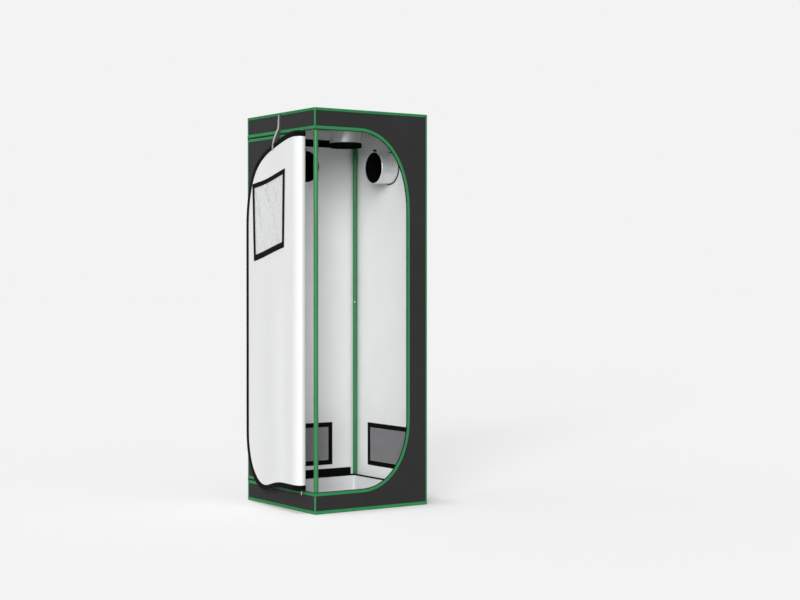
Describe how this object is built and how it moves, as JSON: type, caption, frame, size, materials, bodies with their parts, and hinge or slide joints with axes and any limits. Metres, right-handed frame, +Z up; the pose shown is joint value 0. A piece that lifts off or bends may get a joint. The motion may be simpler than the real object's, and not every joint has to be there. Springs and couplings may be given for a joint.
{
  "type": "indoor grow tent",
  "caption": "Tall square indoor grow tent: steel pole frame, zipped cloth cover with a rounded doorway folded back, duct sleeves, mesh vents and a lift-out floor tray.",
  "frame": {"origin": "middle of the floor panel's underside, where the tent stands on the ground", "axes": "+Z up; the doorway's front faces -Y; the left side, where the open door hangs, faces -X"},
  "size_m": [0.6544, 0.608, 1.789],
  "materials": {
    "outer_cloth": "dark grey coated woven cloth",
    "lining": "silver white coated cloth",
    "green_trim": "green woven zip tape and piping",
    "zip_teeth": "dark green coil",
    "black_tape": "black woven binding",
    "green_steel": "green painted steel tube",
    "bright_steel": "plain bright steel",
    "white_mesh": "grey woven net",
    "window_film": "clear glossy film over a pale cover",
    "tray_cloth": "silver white coated cloth",
    "webbing": "dark grey woven strap",
    "black_plastic": "moulded black plastic"
  },
  "bodies": {
    "tent": {"pole_front_left_lower": "green_steel", "pole_front_left_upper": "green_steel", "pole_front_right_lower": "green_steel", "pole_front_right_upper": "green_steel", "pole_back_left_lower": "green_steel", "pole_back_left_upper": "green_steel", "pole_back_right_lower": "green_steel", "pole_back_right_upper": "green_steel", "bottom_frame": "green_steel", "top_frame": "green_steel", "roof_panel": "outer_cloth", "floor_panel": "outer_cloth", "front_surround": "outer_cloth", "left_valance": "outer_cloth", "left_door_panel": "outer_cloth", "left_skirt": "outer_cloth", "back_valance": "outer_cloth", "back_door_panel": "outer_cloth", "back_skirt": "outer_cloth", "right_wall": "outer_cloth", "edge_piping": "green_trim", "edge_piping_back_left": "green_trim", "zip_tape_cover": "green_trim", "zip_tape_panel_upper": "green_trim", "zip_tape_panel_lower": "green_trim", "zip_teeth": "zip_teeth", "vent_mesh_back": "white_mesh", "vent_mesh_right": "white_mesh", "vent_binding_back": "black_tape", "vent_binding_right": "black_tape", "duct_sleeve_right": "lining", "duct_sleeve_back": "lining", "duct_sleeve_roof": "lining", "cord_lock_right": "black_plastic", "cord_lock_back": "black_plastic", "cord_lock_roof": "black_plastic"},
    "door_strip_1": {"door_fold_1": "outer_cloth"},
    "door_strip_2": {"door_fold_2": "outer_cloth"},
    "door_strip_3": {"door_fold_3": "outer_cloth"},
    "door_near": {"door_panel_near": "outer_cloth"},
    "door_far": {"door_panel_far": "outer_cloth", "door_zip_edge": "black_tape", "door_window_film": "window_film", "door_window_frame": "black_tape", "door_window_cover": "outer_cloth"},
    "front_bar": {"hanging_bar_front": "green_steel"},
    "back_bar": {"hanging_bar_back": "green_steel"},
    "button_front_left": {"snap_button_front_left": "bright_steel"},
    "button_front_right": {"snap_button_front_right": "bright_steel"},
    "button_back_left": {"snap_button_back_left": "bright_steel"},
    "button_back_right": {"snap_button_back_right": "bright_steel"},
    "slider_top": {"zip_slider_top": "bright_steel"},
    "slider_bottom": {"zip_slider_bottom": "bright_steel"},
    "pull_top": {"zip_pull_top": "bright_steel"},
    "pull_bottom": {"zip_pull_bottom": "bright_steel"},
    "strap": {"hold_back_strap": "webbing"},
    "back_vent_cover": {"vent_cover_back": "outer_cloth"},
    "right_vent_cover": {"vent_cover_right": "outer_cloth"},
    "tray": {"floor_tray": "tray_cloth", "floor_tray_rim": "black_tape"}
  },
  "joints": [
    {"name": "door_bend_1", "type": "hinge", "parent": "tent", "child": "door_strip_1", "pos_m": [-0.3, -0.195, 0.9], "axis": [0, 0, 1], "range_deg": [0, 8]},
    {"name": "door_bend_2", "type": "hinge", "parent": "door_strip_1", "child": "door_strip_2", "pos_m": [-0.30557, -0.23461, 0.9], "axis": [0, 0, 1], "range_deg": [0, 72]},
    {"name": "door_bend_3", "type": "hinge", "parent": "door_strip_2", "child": "door_strip_3", "pos_m": [-0.33511, -0.23982, 0.9], "axis": [0, 0, 1], "range_deg": [0, 75]},
    {"name": "door_swing", "type": "hinge", "parent": "door_strip_3", "child": "door_near", "pos_m": [-0.3499, -0.2081, 0.9], "axis": [0, 0, 1], "range_deg": [0, 118.4]},
    {"name": "door_lift", "type": "slide", "parent": "door_near", "child": "door_far", "axis": [0, 0, 1], "range_m": [0, 0.065]},
    {"name": "front_bar_slide", "type": "slide", "parent": "tent", "child": "front_bar", "axis": [0, 1, 0], "range_m": [-0.1, 0.05]},
    {"name": "back_bar_slide", "type": "slide", "parent": "tent", "child": "back_bar", "axis": [0, 1, 0], "range_m": [-0.05, 0.1]},
    {"name": "button_press_front_left", "type": "slide", "parent": "tent", "child": "button_front_left", "axis": [-0.7071, -0.7071, 0], "range_m": [0, 0.0025], "stiffness_N_per_m": 400},
    {"name": "button_press_front_right", "type": "slide", "parent": "tent", "child": "button_front_right", "axis": [0.7071, -0.7071, 0], "range_m": [0, 0.0025], "stiffness_N_per_m": 400},
    {"name": "button_press_back_left", "type": "slide", "parent": "tent", "child": "button_back_left", "axis": [-0.7071, 0.7071, 0], "range_m": [0, 0.0025], "stiffness_N_per_m": 400},
    {"name": "button_press_back_right", "type": "slide", "parent": "tent", "child": "button_back_right", "axis": [0.7071, 0.7071, 0], "range_m": [0, 0.0025], "stiffness_N_per_m": 400},
    {"name": "slider_top_run", "type": "slide", "parent": "tent", "child": "slider_top", "axis": [0, 1, 0], "range_m": [0, 0.44]},
    {"name": "slider_bottom_run", "type": "slide", "parent": "tent", "child": "slider_bottom", "axis": [0, 1, 0], "range_m": [0, 0.44]},
    {"name": "pull_top_hinge", "type": "hinge", "parent": "slider_top", "child": "pull_top", "pos_m": [-0.306, -0.195, 1.6915], "axis": [0, 1, 0], "range_deg": [0, 150]},
    {"name": "pull_bottom_hinge", "type": "hinge", "parent": "slider_bottom", "child": "pull_bottom", "pos_m": [-0.306, -0.195, 0.098], "axis": [0, 1, 0], "range_deg": [0, 150]},
    {"name": "strap_swing", "type": "hinge", "parent": "tent", "child": "strap", "pos_m": [-0.3025, 0, 1.775], "axis": [0, 1, 0], "range_deg": [0, 60]},
    {"name": "back_vent_cover_lift", "type": "hinge", "parent": "tent", "child": "back_vent_cover", "pos_m": [-0.016, 0.3016, 0.355], "axis": [1, 0, 0], "range_deg": [0, 150]},
    {"name": "right_vent_cover_lift", "type": "hinge", "parent": "tent", "child": "right_vent_cover", "pos_m": [0.3016, 0.013, 0.355], "axis": [0, -1, 0], "range_deg": [0, 150]},
    {"name": "tray_lift", "type": "slide", "parent": "tent", "child": "tray", "axis": [0, 0, 1], "range_m": [0, 0.5]}
  ],
  "couplings": [
    {"joint": "door_bend_2", "follows": "door_bend_1", "ratio": 9},
    {"joint": "door_bend_3", "follows": "door_bend_1", "ratio": 9.375},
    {"joint": "door_swing", "follows": "door_bend_1", "ratio": 14.8},
    {"joint": "door_lift", "follows": "door_bend_1", "m_per_rad": 0.46553}
  ]
}
